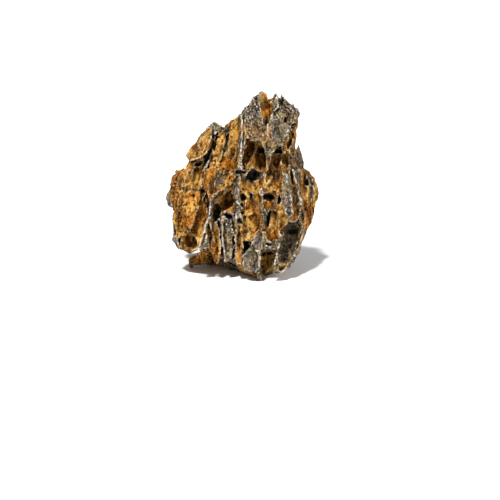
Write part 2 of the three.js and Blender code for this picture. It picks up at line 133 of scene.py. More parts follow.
# %% Masses
MASSES = {
    # The body behind the face, down to the foot.
    "core": (0.5, 0.4, 0.8, [
        (-32, 14, -48), (46, 10, -50), (52, 16, -26), (-30, 22, -34), (12, 8, -14), (22, 2, 10),
        (-58, 50, -44), (58, 50, -42), (-64, 60, -12), (66, 60, -8), (-50, 50, 10), (56, 46, 16),
        (-54, 100, -34), (62, 100, -28), (-56, 104, 4), (64, 100, 6), (-30, 90, 22), (46, 100, 28),
        (-26, 148, -14), (44, 150, -14), (-24, 146, 12), (46, 150, 24), (8, 172, 2), (46, 172, 6),
        (0, 60, 26), (30, 60, 28),
    ]),
    # The bed that the masses of the face stand on.
    "front_bed": (0.6, 0.5, 0.6, [
        (-32, 34, 16), (-30, 100, 24), (-20, 140, 14), (4, 158, 26), (50, 158, 24), (58, 110, 20),
        (58, 48, 20), (40, 20, 14), (-20, 24, 14), (-30, 40, -10), (50, 40, -10), (0, 150, -10),
        (48, 150, -10),
    ]),
    # Three long ribs of the back.
    "back_left": (0.5, 0.4, 0.8, [
        (-48, 40, -46), (-20, 30, -54), (-8, 60, -58), (-20, 110, -50), (-34, 134, -30),
        (-50, 100, -42), (-40, 60, -20), (-10, 124, -6), (-4, 40, -20), (-26, 132, -8),
    ]),
    "back_middle": (0.4, 0.3, 0.8, [
        (-12, 14, -54), (18, 12, -58), (22, 60, -62), (10, 120, -48), (20, 158, -26), (2, 150, -24),
        (-12, 80, -54), (0, 60, -20), (20, 60, -20), (34, 120, -30), (30, 40, -52), (4, 166, -4),
        (34, 164, -4),
    ]),
    "back_right": (0.5, 0.4, 0.8, [
        (24, 24, -52), (48, 22, -44), (66, 60, -36), (66, 90, -30), (52, 120, -34), (40, 148, -24),
        (30, 90, -52), (30, 60, -20), (60, 100, -4), (44, 150, -2), (24, 150, -6),
    ]),
    # The grey head with its jagged lower edge.
    "crown": (0.22, 0.8, 0.25, [
        (1, 166, 37), (1, 142, 42), (17, 139, 46), (41, 133, 45), (57, 164, 34), (57, 169, 30),
        (46, 177, 32), (12, 176, 36), (4, 170, 34), (4, 168, 4), (56, 166, 2), (30, 176, 38),
        (46, 142, 4), (6, 145, 4), (50, 152, 41), (31, 150, 50),
    ]),
    "crown_tooth": (0.25, 0.5, 0.1, [
        (18, 142, 46), (36, 140, 46), (29, 122, 48), (26, 123, 46), (34, 132, 46), (22, 142, 26),
        (34, 140, 26),
    ]),
    "crown_post": (0.15, 0.1, 0.0, [
        (0, 144, 43), (5, 143, 42), (1, 111, 42), (-1, 110, 41), (2, 142, 24), (0, 114, 28),
    ]),
    # The ochre flank right of the head.
    "crown_side": (0.75, 0.3, 0.2, [
        (40, 131, 42), (48, 123, 34), (55, 134, 22), (57, 162, 30), (52, 150, 4), (44, 128, 6),
    ]),
    # Prongs on top of the head.
    "left_prong": (0.4, 0.4, 0.0, [
        (22, 190, 26), (13, 184, 24), (20, 188, 14), (10, 176, 36), (10, 170, 12), (28, 182, 22),
        (28, 182, 14), (31, 170, 36), (31, 170, 8), (17, 160, 40), (26, 187, 24),
    ]),
    "middle_prong": (0.1, 0.1, 0.0, [
        (36, 188, 32), (33, 185, 26), (30, 165, 43), (37, 172, 42), (40, 172, 12), (30, 168, 12),
    ]),
    "right_prong": (0.0, 0.2, 0.0, [
        (40, 187, 22), (43, 185, 20), (37, 172, 36), (46, 174, 32), (50, 172, 10), (38, 170, 8),
    ]),
    "prong_web": (0.3, 0.5, 0.1, [
        (25, 182, 28), (36, 181, 33), (46, 181, 24), (30, 168, 36), (47, 172, 30), (27, 170, 10),
        (45, 172, 8),
    ]),
    # The crumbly shoulder on the right.
    "crown_shoulder": (0.3, 0.7, 0.1, [
        (47, 179, 22), (50, 176, 28), (58, 169, 20), (56, 160, 28), (42, 172, 32), (44, 168, 2),
        (54, 162, -2),
    ]),
    # The thin pale edge between the sail and the head.
    "sail_crest": (0.3, 0.2, 0.0, [
        (-3, 167, 34), (1, 166, 40), (2, 140, 46), (2, 110, 45), (-2, 110, 44), (-2, 140, 43),
        (0, 160, 24), (1, 114, 28),
    ]),
    # The crumbly ochre sheet left of the head, with a knife edge.
    "sail": (0.95, 0.9, 0.5, [
        (-1, 166, 34), (1, 150, 40), (1, 110, 43), (-10, 101, 41), (-20, 86, 38), (-30, 78, 34),
        (-37, 90, 27), (-34, 105, 25), (-27, 120, 23), (-24, 146, 19), (-16, 155, 14), (-5, 164, 22),
        (-4, 164, -2), (-20, 150, -10), (-30, 90, 6), (2, 108, 10), (9, 160, 26), (9, 108, 30),
    ]),
    # Two lumps on the sail: a long crumbly one, and a smooth one under it.
    "sail_lump_a": (1.0, 0.9, 0.1, [
        (-22, 142, 26), (-14, 144, 28), (-9, 118, 40), (-12, 96, 42), (-22, 98, 38), (-24, 120, 32),
        (-16, 120, 20),
    ]),
    "sail_lump_b": (1.0, 0.12, 0.05, [
        (-34, 110, 32), (-24, 114, 37), (-12, 98, 43), (-17, 85, 42), (-30, 79, 38), (-38, 92, 31),
        (-26, 98, 20),
    ]),
    # The grey peak on the left and the slab under it.
    "left_peak": (0.1, 0.2, 0.1, [
        (-27, 161, 14), (-22, 158, 14), (-15, 153, 18), (-25, 146, 24), (-33, 155, 8), (-14, 148, 20),
        (-30, 140, -12), (-14, 148, -14), (-40, 147, 0),
    ]),
    "left_shoulder": (0.55, 0.3, 0.1, [
        (-28, 153, 24), (-29, 142, 30), (-30, 131, 34), (-38, 122, 34), (-50, 121, 24), (-55, 127, 12),
        (-50, 135, 10), (-43, 139, 8), (-40, 148, 8), (-33, 155, 12), (-48, 122, -14), (-28, 140, -12),
    ]),
    # The fluted ledge under the slab.
    "ledge": (0.6, 0.5, 0.4, [
        (-57, 119, 6), (-36, 124, 22), (-36, 92, 26), (-58, 90, 16), (-50, 106, 22), (-54, 90, -24),
        (-40, 126, -12), (-50, 124, 8),
    ]),
    # A thin pale blade.
    "left_blade": (0.15, 0.1, 0.1, [
        (-30, 121, 29), (-34, 110, 33), (-34, 104, 32), (-39, 93, 28), (-42, 92, 20), (-38, 112, 20),
        (-30, 118, 8), (-36, 92, 6),
    ]),
    # The crumbly wall and the panel on the left.
    "left_wall": (0.9, 0.9, 0.35, [
        (-70, 108, -6), (-65, 113, -4), (-57, 116, -2), (-52, 108, 18), (-58, 90, 21), (-68, 98, 8),
        (-70, 80, 2), (-72, 90, -14), (-50, 80, -32), (-52, 112, -22),
    ]),
    "panel": (0.95, 1.0, 0.2, [
        (-60, 93, 22), (-41, 91, 27), (-45, 70, 31), (-50, 46, 30), (-62, 43, 21), (-66, 46, 12),
        (-67, 70, 12), (-68, 84, 8), (-60, 60, -24), (-40, 60, -10),
    ]),
    # The pale left rim.
    "left_rim": (0.15, 0.1, 0.1, [
        (-69, 68, 2), (-71, 52, 4), (-70, 40, 2), (-65, 29, 2), (-62, 30, 8), (-66, 46, 12),
        (-60, 60, -28), (-58, 34, -24),
    ]),
    # The lower left corner.
    "lower_left": (0.7, 0.3, 0.3, [
        (-64, 30, 6), (-53, 27, 10), (-43, 32, 18), (-40, 32, 24), (-38, 46, 26), (-60, 48, 18),
        (-60, 48, -28), (-40, 36, -30),
    ]),
    # The smooth channel beside the panel.
    "channel_bed": (1.0, 0.1, 0.3, [
        (-48, 92, 20), (-33, 86, 26), (-31, 60, 28), (-37, 42, 27), (-50, 44, 23), (-40, 60, -10),
        (-40, 90, 0),
    ]),
    # A flake far back on the left.
    "far_flake": (0.25, 0.3, 0.2, [
        (-79, 81, -22), (-78, 87, -22), (-72, 96, -16), (-70, 94, -10), (-70, 72, -8), (-73, 72, -14),
        (-62, 90, -32), (-62, 74, -30),
    ]),
    # The long grey blade.
    "grey_blade": (0.0, 0.2, 0.1, [
        (-29, 81, 36), (-31, 62, 37), (-35, 48, 37), (-42, 31, 33), (-33, 32, 33), (-26, 38, 31),
        (-27, 60, 24), (-27, 79, 28), (-40, 40, 12), (-30, 60, 0),
    ]),
    # The sloping bay in the middle.
    "bay": (0.6, 0.3, 0.6, [
        (-28, 92, 26), (-3, 98, 30), (-3, 68, 29), (-18, 66, 26), (-28, 62, 21), (-20, 70, 0),
        (0, 90, 0), (-12, 72, 29),
    ]),
    # The left toe.
    "toe_left": (0.9, 0.4, 0.5, [
        (-28, 34, -4), (-40, 32, -4), (-55, 20, -20), (-55, 12, -22), (-50, 10, -32), (-28, 28, -20),
        (-40, 30, -44), (-30, 12, -46),
    ]),
    # Columns low in the middle.
    "column_a": (0.8, 0.4, 0.2, [
        (-26, 64, 24), (-19, 62, 25), (-18, 40, 24), (-20, 24, 23), (-23, 17, 22), (-26, 20, 20),
        (-28, 42, 22), (-24, 20, 8), (-20, 60, 0),
    ]),
    "column_b": (0.28, 0.3, 0.2, [
        (-18, 66, 28), (-7, 66, 30), (-6, 40, 27), (-9, 22, 24), (-15, 19, 24), (-18, 28, 22),
        (-14, 22, 6), (-12, 60, 0),
    ]),
    "column_c": (0.6, 0.5, 0.2, [
        (-5, 66, 30), (5, 62, 31), (2, 36, 28), (1, 18, 26), (-5, 15, 25), (-6, 30, 24), (-2, 18, 6),
        (0, 60, 0),
    ]),
    # The pitted wall in the middle.
    "middle_wall": (0.75, 0.6, 0.7, [
        (-4, 104, 35), (2, 110, 37), (24, 108, 39), (24, 68, 39), (23, 50, 37), (10, 40, 35),
        (2, 44, 34), (-5, 66, 34), (-6, 90, 35), (10, 40, 0), (0, 100, 0), (24, 100, 0),
    ]),
    # The bed of the arches under the head.
    "recess_bed": (0.7, 0.3, 0.6, [
        (2, 142, 28), (28, 142, 30), (28, 104, 32), (2, 104, 32), (10, 120, 0), (24, 120, 0),
    ]),
    # The wide fluted column on the right.
    "right_column": (0.7, 0.4, 0.8, [
        (18, 120, 28), (18, 50, 28), (27, 126, 34), (50, 124, 32), (52, 100, 36), (51, 66, 38),
        (44, 52, 38), (36, 42, 37), (24, 44, 36), (23, 104, 38), (26, 60, 0), (50, 60, 0), (48, 120, 0),
    ]),
    # The grey strip and the plate under it.
    "strip": (0.1, 0.2, 0.3, [
        (24, 51, 38), (17, 48, 37), (3, 28, 32), (10, 29, 35), (20, 30, 36), (42, 34, 36), (42, 50, 38),
        (20, 30, 4), (40, 40, 4),
    ]),
    "plate": (0.1, 0.3, 0.2, [
        (9, 31, 35), (19, 30, 37), (19, 14, 32), (15, 8, 30), (4, 11, 28), (1, 24, 30), (12, 12, 8),
        (14, 30, 8),
    ]),
    # The front toe.
    "front_toe": (0.2, 0.3, 0.1, [
        (16, 14, 30), (21, 0, 22), (17, 0, 18), (26, 6, 12), (30, 12, 14), (24, 20, 12), (18, 16, -10),
        (30, 10, -14),
    ]),
    # The grey spike on the right.
    "spike": (0.08, 0.2, 0.1, [
        (58, 139, 8), (60, 134, 6), (64, 121, 4), (62, 112, 8), (50, 112, 20), (53, 130, 12),
        (52, 122, -12), (62, 110, -14), (56, 98, 22),
    ]),
    # Three upright ridges: at the right, left of the pitted wall, and a thin one between them.
    "pale_ridge": (0.08, 0.3, 0.4, [
        (41, 110, 36), (51, 108, 37), (52, 66, 40), (44, 61, 40), (47, 88, 44), (46, 104, 42),
        (44, 100, 20), (50, 70, 20),
    ]),
    "middle_ridge": (0.15, 0.5, 0.2, [
        (-6, 102, 37), (1, 105, 38), (3, 60, 37), (-4, 58, 37), (-2, 82, 42), (-2, 98, 20), (0, 62, 20),
    ]),
    "thin_ridge": (0.35, 0.2, 0.1, [
        (21, 104, 36), (25, 104, 36), (26, 66, 37), (23, 50, 36), (21, 68, 38), (23, 90, 40),
        (24, 98, 20), (24, 54, 20),
    ]),
    # The fluted right wall, the outer slab and the lobe under it.
    "right_wall": (0.4, 0.2, 0.5, [
        (46, 110, 28), (46, 60, 28), (50, 110, 33), (61, 110, 20), (58, 84, 29), (61, 66, 29),
        (57, 58, 29), (50, 60, 35), (70, 104, 4), (64, 114, 8), (60, 60, -20), (60, 104, -24),
    ]),
    "right_slab": (0.95, 0.4, 0.15, [
        (56, 108, 8), (56, 60, 12), (61, 112, 12), (70, 111, 4), (75, 104, -4), (79, 90, -10),
        (79, 86, -10), (74, 72, 0), (72, 56, 4), (66, 50, 16), (60, 58, 25), (62, 80, 22), (72, 90, 6),
        (66, 100, -28), (70, 70, -26),
    ]),
    "right_lobe": (0.25, 0.2, 0.4, [
        (70, 56, 6), (66, 44, 10), (60, 28, 14), (52, 17, 20), (42, 10, 24), (33, 8, 24), (32, 12, 28),
        (36, 32, 35), (44, 50, 36), (60, 58, 26), (40, 14, -2), (60, 40, -22),
    ]),
}
print(len(MASSES), "masses")

# %% [markdown]
# ## Blocks of the field
# A convex block is what lies behind all of its flat faces. For a point p, the distance to the
# face with normal n and offset d is n.p + d, and the largest of them is the block's field: below
# zero inside. Joined masses take the smallest field, so each point also learns which mass it is in.

# %% Join the masses
def hull_planes(corners):
    """The flat faces of the tight skin round the corners, as rows (normal x, u, w, offset)."""
    hull = bmesh.new()
    for corner in corners:
        hull.verts.new(corner)
    bmesh.ops.convex_hull(hull, input=hull.verts)
    middle = np.mean(np.array(corners, float), axis=0)
    rows = []
    for face in hull.faces:
        face.normal_update()
        normal = np.array(face.normal)
        offset = -normal @ np.array(face.verts[0].co)
        side = 1.0 if normal @ middle + offset < 0.0 else -1.0
        rows.append(np.append(side * normal, side * offset))
    hull.free()
    return np.unique(np.round(np.array(rows), 5), axis=0)


def box_slices(low, high):
    """The part of the grid between two corners, as three slices."""
    first = np.clip(np.floor((np.array(low) - GRID_LOW) / STEP).astype(int), 0, COUNTS - 1)
    last = np.clip(np.ceil((np.array(high) - GRID_LOW) / STEP).astype(int) + 1, 1, COUNTS)
    return tuple(slice(a, b) for a, b in zip(first, last))


# The field isn't followed further than this from a mass or a hollow.
OUTSIDE = 7.0

# Points that no mass comes near keep these middle values.
field = np.full(bent[0].shape, OUTSIDE, np.float32)
warm = np.full(bent[0].shape, 0.5, np.float32)
crumbly = np.full(bent[0].shape, 0.3, np.float32)
fluted = np.full(bent[0].shape, 0.5, np.float32)
planes = {name: hull_planes(corners) for name, (*_, corners) in MASSES.items()}

for name, (mass_warm, mass_crumbly, mass_fluted, corners) in MASSES.items():
    corners = np.array(corners, float)
    box = box_slices(corners.min(axis=0) - OUTSIDE, corners.max(axis=0) + OUTSIDE)
    x, u, w = (axis[box] for axis in bent)
    block = np.full(x.shape, -1e9, np.float32)
    for a, b, c, d in planes[name]:
        np.maximum(block, a * x + b * u + c * w + d, out=block)
    nearer = block < field[box]
    warm[box][nearer] = mass_warm
    crumbly[box][nearer] = mass_crumbly
    fluted[box][nearer] = mass_fluted
    np.minimum(field[box], block, out=field[box])

print("joined masses fill", int((field < 0).sum() * STEP**3 / 1000), "cubic centimetres")

# %% [markdown]
# ## Hollows in the face
# Every hollow is a stretched ball taken out of the stone. A row says where it sits on the face,
# how far its middle is sunk under the skin there, or with a minus sign how far it stands out of
# it, its half width, half length and half depth, its lean to the right and its pitch into the
# stone in degrees, and how ochre its wall is. Where two hollows cross, a sharp crest is left, as
# on the real stone. A pitched hollow has a dark overhung top and runs out open at its foot.

# %% Face hollows
HOLLOWS = {
    "panel_top": (-56, 92.5, 1, 9, 1.5, 5, 8, 0, 0.5),
    "under_lip": (38, 129, 5, 7, 3.6, 12, -10, 0, 0.5),
    "arch_dark": (22, 131, 6, 8, 4, 12, -30, 0, 0.3),
    "column_gap_low": (-10, 17, 0, 12, 3, 8, 0, 0, 0.3),
    "sail_groove": (-14.5, 134, 0, 2.4, 14, 6, 12, 0, 0.6),
    "crown_groove": (25.5, 175, -3, 6.6, 17, 10, -4, -6, 0.95),
    "crown_groove_top": (25.5, 183, -2, 5, 8, 6, -8, 8, 0.9),
    "crown_groove_pit": (26, 160, 2, 3.6, 8, 8, 10, 12, 0.3),
    "crown_lip_hole": (15.5, 182, 0, 2.6, 3.2, 3.5, 20, 0, 0.3),
    "prong_face": (41, 180, -2, 3.4, 8, 7, 8, 0, 0.1),
    "crown_dish": (42, 151, -3, 9, 15, 7, 10, 8, 0.1),
    "crown_dimple": (45, 159, 0, 2.2, 3.2, 5, 0, 0, 0.8),
    "crown_side_groove": (50, 143, 1, 3.4, 16, 5, 16, 0, 0.9),
    "crown_left_dish": (18, 153, -3, 9, 13, 6.5, 6, 10, 0.3),
    "crown_low_dish": (27, 134, -2, 4, 7, 4, 20, 0, 0.25),
    "arch_left": (7, 127, -2, 5.8, 17, 8.5, 14, 20, 1),
    "arch_right": (19.5, 121, 1, 7.5, 15, 11, 12, 26, 0.85),
    "under_drip": (36, 125, 2, 5.6, 9, 10, 0, 28, 0.85),
    "under_side": (46, 122, 2, 5.2, 8, 9.5, -16, 28, 0.8),
    "flute_b": (30, 110, -1, 3.4, 15, 6, 8, 8, 0.8),
    "flute_c": (37, 104, -2, 6, 21, 8, 4, 12, 0.9),
    "sail_pit": (-21, 132, -2, 5, 12, 6, 12, 10, 1),
    "sail_dish": (-7, 138, -2, 5.5, 19, 5.5, 10, 0, 1),
    "sail_low": (-11, 113, -1.5, 7, 8, 4, 24, 0, 1),
    "sail_foot": (-30, 95, -2, 4.5, 15, 4, 10, 0, 0.9),
    "sail_scar": (-20, 100, -1, 4, 9, 3, 30, 0, 0.3),
    "sail_saddle": (-15, 152, -2, 5, 5, 6, 0, 0, 0.2),
    "shoulder_dish": (-40, 137, -3, 6, 12, 5, 22, 10, 0.5),
    "shoulder_low": (-45, 128, -2, 6, 5, 4, 0, 0, 0.6),
    "shoulder_right": (-26.5, 134, 0, 2.2, 14, 9, 12, 0, 0),
    "shoulder_under": (-42, 118, 2, 5, 2.6, 6, -10, 0, 0.5),
    "ledge_a": (-44, 104, -1, 5.4, 13, 8.5, 8, 14, 0.65),
    "ledge_b": (-53, 104, -1, 4, 10, 6, 8, 14, 0.6),
    "ledge_c": (-37.5, 103, -1, 2.5, 10, 5, 12, 0, 0.6),
    "ledge_d": (-46, 94, 0, 5, 7, 6, 10, 16, 0.8),
    "sail_crevice": (-38, 90, 2, 1.8, 10, 10, 8, 0, 0.1),
    "wall_dish": (-62.5, 98, -3, 5, 14, 7, 6, 12, 0.9),
    "wall_low": (-63, 82, -1, 3.5, 10, 4, 6, 0, 0.8),
    "panel_notch": (-52, 95, 0, 4, 8, 5, 22, 0, 0.9),
    "channel": (-39.5, 60, -3, 7.5, 31, 7.5, 14, 3, 1),
    "low_hollow": (-53, 38, -3, 13, 9.5, 8.5, 8, 12, 1),
    "low_hole": (-48, 41.5, 4, 4.4, 1.6, 7, -76, 0, 0.6),
    "rim_dish": (-68, 52, 0, 2.2, 10, 5, -4, 0, 0.3),
    "blade_flute": (-35, 42, -1, 2.4, 9, 4, 22, 0, 0.1),
    "diagonal": (-14, 80, 0, 7, 18, 11, 50, 14, 0.85),
    "diagonal_deep": (-22, 84, 3, 3, 10, 9, 48, 0, 0.3),
    "recess": (-23, 69, 1, 5, 11, 9, 10, 24, 0.4),
    "gap_a": (-28.5, 47, 1, 2.6, 12, 12, -8, 0, 0.5),
    "pin_hole_a": (-21, 57, 2, 1.8, 3.6, 7, 0, 0, 0.1),
    "column_a_flute": (-23, 40, -1.5, 2.2, 18, 3, -2, 0, 0.9),
    "slot_ab": (-18.5, 38, 2, 1, 22, 7, -2, 0, 0.3),
    "column_b_flute": (-14, 40, -2, 2.8, 19, 4, 0, 0, 0.3),
    "gap_bc": (-5.8, 28, 2, 1.2, 14, 7, 3, 0, 0.3),
    "column_c_flute": (-1.5, 38, -1.5, 2.4, 20, 4, 2, 0, 0.7),
    "gap_c": (5.5, 35, 1, 2.3, 10, 10, 8, 0, 0.2),
    "column_head_b": (-10, 67, 0, 5, 2.8, 8, 20, 0, 0.2),
    "column_head_c": (0, 61, 1, 3.5, 3.5, 8, -20, 0, 0.2),
    "cave": (12, 97, -1, 11, 13, 12, 30, 26, 0.75),
    "cave_hole": (13, 105.5, 5, 6.2, 9.6, 15, 66, 0, 0.2),
    "cave_roof": (0, 107.5, 1.5, 2, 10, 5, 82, 0, 0.15),
    "curl_a": (5, 85, 1, 3.6, 2.8, 6, 30, 0, 0.6),
    "curl_b": (3.5, 91, 1, 2.2, 1.8, 6, 0, 0, 0.6),
    "curl_c": (2.5, 69, 1, 2.2, 2.2, 6, 0, 0, 0.7),
    "curl_d": (13, 86, 2, 1.8, 2.4, 7, 0, 0, 0.2),
    "curl_e": (2, 77, 1, 2, 2.6, 5, 0, 0, 0.6),
    "mid_dish": (14, 76, -3, 9, 15, 8, 14, 16, 0.75),
    "mid_low": (13, 57, -2, 7, 12, 7, 16, 16, 0.75),
    "mid_left": (5, 56, -1, 3.5, 10, 5, 10, 12, 0.6),
    "hollow_a": (32.5, 75, -1, 7.5, 15, 8.5, 6, 22, 0.85),
    "hole_a": (30, 83, 4, 7, 4, 12, 20, 0, 0.4),
    "hole_b": (39, 80, 2, 2.2, 5, 8, 10, 20, 0.3),
    "cavity_c": (32, 54, -1, 7, 17, 9, 5, 20, 1),
    "cavity_c_top": (29, 63, 4, 2.6, 8, 11, 14, 10, 0.3),
    "hollow_d": (43.5, 58, 0, 4, 8.5, 6.5, 0, 18, 1),
    "flute_mid": (34, 95, -3, 6.5, 15, 7, 5, 14, 0.8),
    "ridge_side": (48, 86, -2, 3, 20, 4, -4, 0, 0.1),
    "flute_right": (56, 84, -1, 4.6, 25, 7.5, -4, 6, 0.7),
    "flute_outer": (66.5, 85, -1, 4.8, 20, 8, -5, 10, 0.95),
    "flute_outer_top": (67, 99, 2, 3.2, 4, 7, -20, 0, 0.2),
    "slab_edge": (74, 90, 0, 2.6, 13, 4, -4, 0, 0.2),
    "flute_spike": (53, 106, 1, 1.8, 14, 7, -4, 0, 0.2),
    "fold_right": (64, 62, -1, 3, 12, 5, -12, 0, 0.5),
    "great_hollow": (50, 38, 0, 10.5, 24, 18, 20, 24, 0.25),
    "great_hollow_top": (53, 51, 8, 10, 8.5, 15, 16, 10, 0.15),
    "lobe_rim": (61, 42, 0, 2, 12, 5, 20, 0, 0.5),
    "foot_cave": (26.5, 17, -3, 6.6, 17, 11, 5, 14, 1),
    "foot_cave_top": (27, 28, 6, 5.6, 2.6, 9, 0, 0, 0.4),
    "strip_patch": (29, 37, -2, 2.8, 5, 4, 80, 0, 0),
    "strip_flute": (17, 41, -2, 4, 9, 4, 30, 0, 0),
    "plate_dish": (11, 21, -3, 6, 9, 4, 10, 8, 0.1),
    "lobe_dish": (42, 15, -1, 3, 6, 5, 60, 0, 0.6),
}


def face_depth(x, u):
    """How far out the masses come at a point of the face: the largest w that is behind all the
    planes a x + b u + c w + d = 0 of one of the masses."""
    depth = -1e9
    for rows in planes.values():
        a, b, c, d = rows.T
        rest = -(a * x + b * u + d)
        facing = c > 1e-6
        away = c < -1e-6
        level = ~facing & ~away
        top = np.min(rest[facing] / c[facing])
        bottom = np.max(rest[away] / c[away])
        if np.all(rest[level] >= 0.0) and top > bottom:
            depth = max(depth, top)
    return depth


def hollow_out(centre, directions, halves, hollow_warm, hollow_crumbly, hollow_fluted):
    """Take a stretched ball out of the field. With q the distance from the middle measured in
    half sizes, the ball's own field is (q - 1) times the smallest half size. Its wall takes on
    how ochre and crumbly the hollow is, and is fluted no more than the hollow."""
    reach = np.sqrt(sum((direction * half) ** 2 for direction, half in zip(directions, halves)))
    box = box_slices(centre - reach - OUTSIDE, centre + reach + OUTSIDE)
    offset = [axis[box] - middle for axis, middle in zip(bent, centre)]
    square = 0.0
    for direction, half in zip(directions, halves):
        along = offset[0] * direction[0] + offset[1] * direction[1] + offset[2] * direction[2]
        square = square + (along / half) ** 2
    ball = ((np.sqrt(square) - 1.0) * min(halves)).astype(np.float32)
    wall = -ball > field[box]
    warm[box][wall] = hollow_warm
    crumbly[box][wall] = hollow_crumbly
    fluted[box][wall] = np.minimum(fluted[box][wall], hollow_fluted)
    np.maximum(field[box], -ball, out=field[box])


FACE_CRUMBLY = 0.15
FACE_FLUTED = 0.2

for x, u, sunk, wide, long, deep, lean, pitch, hollow_warm in HOLLOWS.values():
    lean = np.radians(lean)
    pitch = np.radians(pitch)
    along = np.array([np.sin(lean) * np.cos(pitch), np.cos(lean) * np.cos(pitch), -np.sin(pitch)])
    across = np.array([np.cos(lean), -np.sin(lean), 0.0])
    centre = np.array([x, u, face_depth(x, u) - sunk])
    directions = [across, along, np.cross(across, along)]
    halves = (wide, long, deep)
    hollow_out(centre, directions, halves, hollow_warm, FACE_CRUMBLY, FACE_FLUTED)

print(len(HOLLOWS), "face hollows taken out")

# %% [markdown]
# ## Hollows round the sides and the back
# The photo doesn't show the back, so it is scalloped like the face. Each hollow could be placed one by
# one, as on the face, but with nothing to follow it is enough that they are spread evenly. The
# place and size of each go on by steps that never fall on one another, and its middle is found by
# looking in from outside to where the skin is met.

# %% Side and back hollows
AROUND_COUNT = 44
AROUND_TURN = (92.0, 268.0)
AROUND_HEIGHT = (16.0, 168.0)
AROUND_HALVES = ((5.5, 9.5), (12.0, 24.0), (6.0, 10.0))
AROUND_SUNK = (1.0, -2.0)
AROUND_LEAN = (-14.0, 14.0)
AROUND_WARM = (0.2, 0.95)
AROUND_CRUMBLY = 0.25
AROUND_FLUTED = 0.6
AXIS_X = 6.0
AXIS_W_AT_FOOT = -30.0
AXIS_RISE = 0.25


def scattered(index, step, start, limits):
    """An evenly scattered value: the fraction of index times step, stretched to the limits."""
    value = index * step + start
    return limits[0] + (limits[1] - limits[0]) * (value - np.floor(value))


def skin_point(axis_point, outward, farthest=120.0):
    """Where a look from outside towards the axis first meets the solid, or nothing."""
    distances = np.arange(farthest, 0.0, -STEP)
    points = axis_point + distances[:, None] * outward
    cells = np.round((points - GRID_LOW) / STEP).astype(int)
    inside = np.all((cells >= 0) & (cells < COUNTS), axis=1)
    cells = cells[inside]
    solid = solid_before[tuple(cells.T)]
    if not solid.any():
        return None
    return points[inside][np.argmax(solid)]


solid_before = field < 0.0
taken = 0
for index in range(AROUND_COUNT):
    turn = np.radians(scattered(index, 0.618034, 0.0, AROUND_TURN))
    height = scattered(index, 0.754878, 0.3, AROUND_HEIGHT)
    outward = np.array([np.sin(turn), 0.0, np.cos(turn)])
    level = np.array([np.cos(turn), 0.0, -np.sin(turn)])
    found = skin_point(np.array([AXIS_X, height, AXIS_W_AT_FOOT + AXIS_RISE * height]), outward)
    if found is None:
        continue
    lean = np.radians(scattered(index, 0.29, 0.0, AROUND_LEAN))
    up = np.array([0.0, 1.0, 0.0])
    along = up * np.cos(lean) + level * np.sin(lean)
    across = level * np.cos(lean) - up * np.sin(lean)
    centre = found - outward * scattered(index, 0.41, 0.0, AROUND_SUNK)
    halves = [
        scattered(index, step, 0.1, limits)
        for step, limits in zip((0.37, 0.53, 0.71), AROUND_HALVES)
    ]
    hollow_warm = scattered(index, 0.83, 0.0, AROUND_WARM)
    directions = [across, along, outward]
    hollow_out(centre, directions, halves, hollow_warm, AROUND_CRUMBLY, AROUND_FLUTED)
    taken += 1

print(taken, "hollows round the sides and the back")

# %% [markdown]
# ## Scattered points
# Everywhere the skin is broken up again on smaller scales. It could be sculpted with brushes, or
# pushed in and out by a Displace modifier, which can't cut a pit under an edge. Here the field
# itself is changed. Every grid point near the skin looks for the nearest of many scattered
# points, one to a cell.

# %% Nearest scattered point
HASH_SIZE = 8192
HASH_STEPS = (7919, 104729, 1299709)


def nearest_point(places, seed, weight_spread):
    """For each place, the least of d^2 - o over the scattered points of the eight cells nearest to
    it: d is the distance to the point and o the point's own random weight."""
    points = np.random.default_rng(seed).uniform(0.1, 0.9, (HASH_SIZE, 4)).astype(np.float32)
    base = np.floor(places - 0.5).astype(np.int32)
    part = places - base
    least = np.full(len(places), 1e9, np.float32)
    for step in np.ndindex(2, 2, 2):
        code = sum((base[:, i] + step[i]) * HASH_STEPS[i] for i in range(3)) % HASH_SIZE
        value = -weight_spread * (points[code, 3] - 0.5)
        for i in range(3):
            gap = part[:, i] - step[i] - points[code, i]
            value += gap * gap
        np.minimum(least, value, out=least)
    return least


print("scattered points come from a table of", HASH_SIZE)

# %% [markdown]
# ## Flutes, scallops, pits and crumbs
# Flutes are long grooves, scallops are shallow cups with sharp rims, and pits are small and deep.
# All fan out from the top of the stone. Crumbs and grains are the same thing turned outwards, as
# on the ochre panel. A cup is deepest, or a crumb highest, at its own scattered point, and it
# meets its neighbours in a crease. Short waves roughen the skin last.

# %% Broken skin
NEAR_SKIN = 4.5
FAN_TOP = 260.0
FAN_REACH = 170.0
ROUGH_STEPS = (1.9, 2.6, 1.9)
ROUGH_SEED = 51
INWARD_SHARE = 0.7

near = np.abs(field) < NEAR_SKIN
near_x, near_u, near_w = (axis[near] for axis in bent)
fan = near_x * FAN_REACH / (FAN_TOP - near_u)
spread = np.stack([fan, near_u, near_w], axis=1)
near_crumbly = crumbly[near]
near_fluted = fluted[near]
near_field = field[near]

# Cell along x, u and w, depth, share of it on plain skin, what it grows with, seed, how unequal
# the cups are, and how wide they open.
BREAKS = {
    "flute": ((10.0, 44.0, 10.0), 6.0, 0.0, near_fluted, 40, 0.4, 0.4),
    "scallop": ((6.5, 12.0, 6.5), 3.6, 0.25, near_fluted, 41, 0.6, 0.45),
    "pit": ((3.6, 4.8, 3.6), 4.2, 0.1, near_crumbly, 42, 0.5, 0.2),
    "crumb": ((4.2, 5.0, 4.2), -4.0, 0.0, near_crumbly, 43, 0.5, 0.5),
    "grain": ((2.4, 2.6, 2.4), -2.6, 0.0, near_crumbly, 44, 0.4, 0.5),
}

